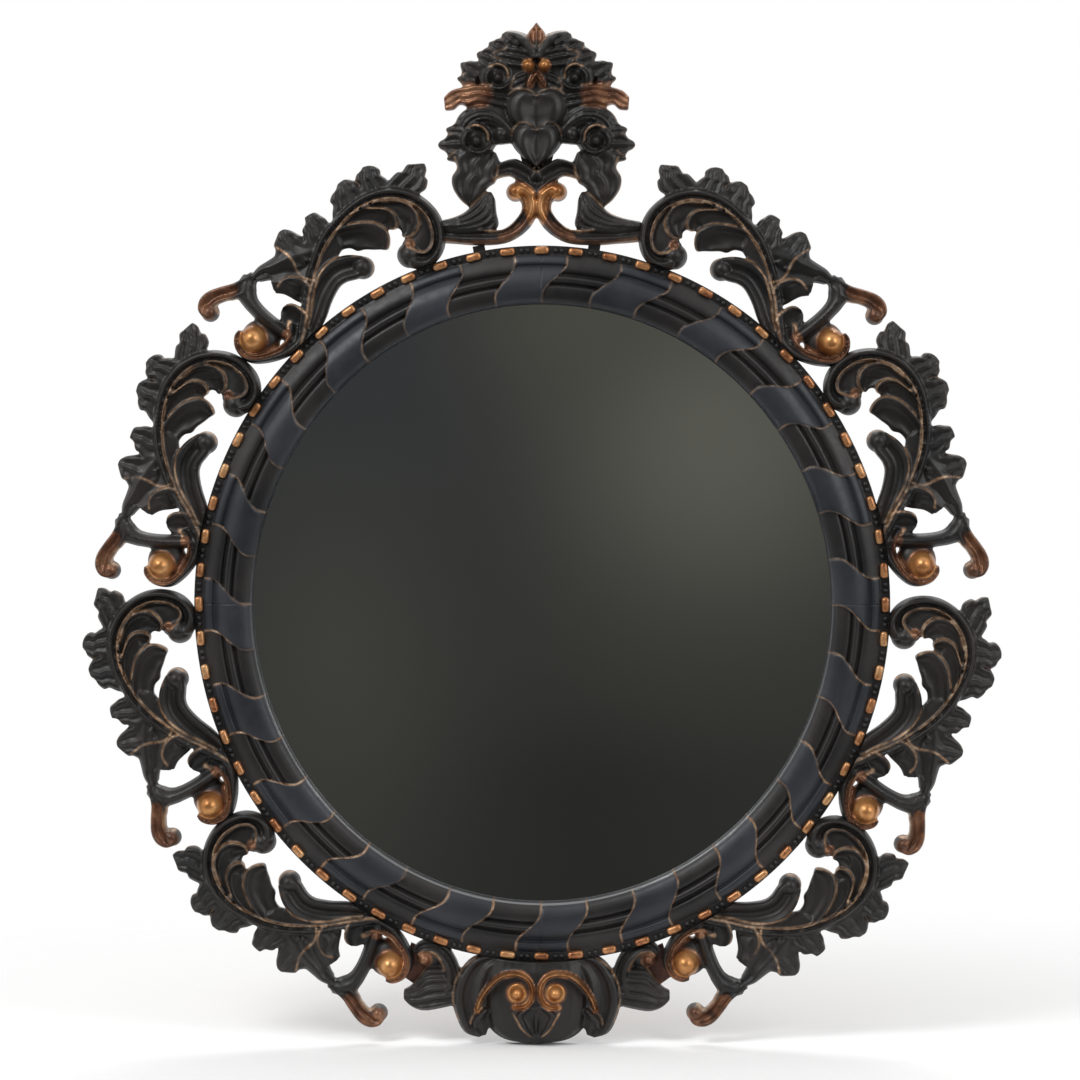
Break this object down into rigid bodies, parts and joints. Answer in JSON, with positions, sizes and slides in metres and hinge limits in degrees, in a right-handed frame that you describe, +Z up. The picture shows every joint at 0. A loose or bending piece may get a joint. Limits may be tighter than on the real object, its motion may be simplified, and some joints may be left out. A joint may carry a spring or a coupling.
{
  "type": "oval wall mirror",
  "caption": "Oval wall mirror in a black carved frame of acanthus scrolls with a flowered crest, a beaded edge and two swinging hanging loops.",
  "frame": {"origin": "centre of the oval, on the back board's back face, which lies on the wall", "axes": "+Z up, towards the crest; the front faces -Y and +Y goes into the wall; +X to the right as one looks at the front"},
  "size_m": [0.9263, 0.045, 1.0241],
  "materials": {
    "ebonised_wood": "satin black with worn bronze lines on the carved edges",
    "gilt_wood": "worn gilt",
    "silvered_glass": "silvered plate, flat, no bevel",
    "plywood": "raw plywood",
    "beech": "raw",
    "stained_block": "red-brown stain, matt",
    "zinc_steel": "zinc plated"
  },
  "bodies": {
    "frame": {"back_board": "plywood", "base_block_left": "stained_block", "base_block_right": "stained_block", "base_cartouche": "ebonised_wood", "base_leaf_left": "ebonised_wood", "base_leaf_right": "ebonised_wood", "base_tenons": "beech", "black_pearls": "ebonised_wood", "crest_backing": "ebonised_wood", "crest_berries": "gilt_wood", "crest_bracket": "ebonised_wood", "crest_fan": "ebonised_wood", "crest_foliage_left": "ebonised_wood", "crest_foliage_right": "ebonised_wood", "crest_heart_lower": "ebonised_wood", "crest_heart_upper": "ebonised_wood", "crest_scroll_left": "ebonised_wood", "crest_scroll_right": "ebonised_wood", "crest_tenons": "beech", "gilt_beads": "gilt_wood", "hanger_screws": "zinc_steel", "hanger_strap_left": "zinc_steel", "hanger_strap_right": "zinc_steel", "mirror_glass": "silvered_glass", "ring_bottom_left": "ebonised_wood", "ring_bottom_right": "ebonised_wood", "ring_tongues": "beech", "ring_top_left": "ebonised_wood", "ring_top_right": "ebonised_wood", "rose_lower_left": "ebonised_wood", "rose_lower_right": "ebonised_wood", "rose_upper_left": "ebonised_wood", "rose_upper_right": "ebonised_wood", "scroll_left_1": "ebonised_wood", "scroll_left_2": "ebonised_wood", "scroll_left_3": "ebonised_wood", "scroll_left_4": "ebonised_wood", "scroll_right_1": "ebonised_wood", "scroll_right_2": "ebonised_wood", "scroll_right_3": "ebonised_wood", "scroll_right_4": "ebonised_wood", "scroll_tenons": "beech"},
    "loop_left": {"hanger_loop_left": "zinc_steel"},
    "loop_right": {"hanger_loop_right": "zinc_steel"}
  },
  "joints": [
    {"name": "hanger_left", "type": "hinge", "parent": "frame", "child": "loop_left", "pos_m": [-0.31685, -0.00302, 0.1], "axis": [1, 0, 0], "range_deg": [0, 175]},
    {"name": "hanger_right", "type": "hinge", "parent": "frame", "child": "loop_right", "pos_m": [0.31685, -0.00302, 0.1], "axis": [1, 0, 0], "range_deg": [0, 175]}
  ]
}
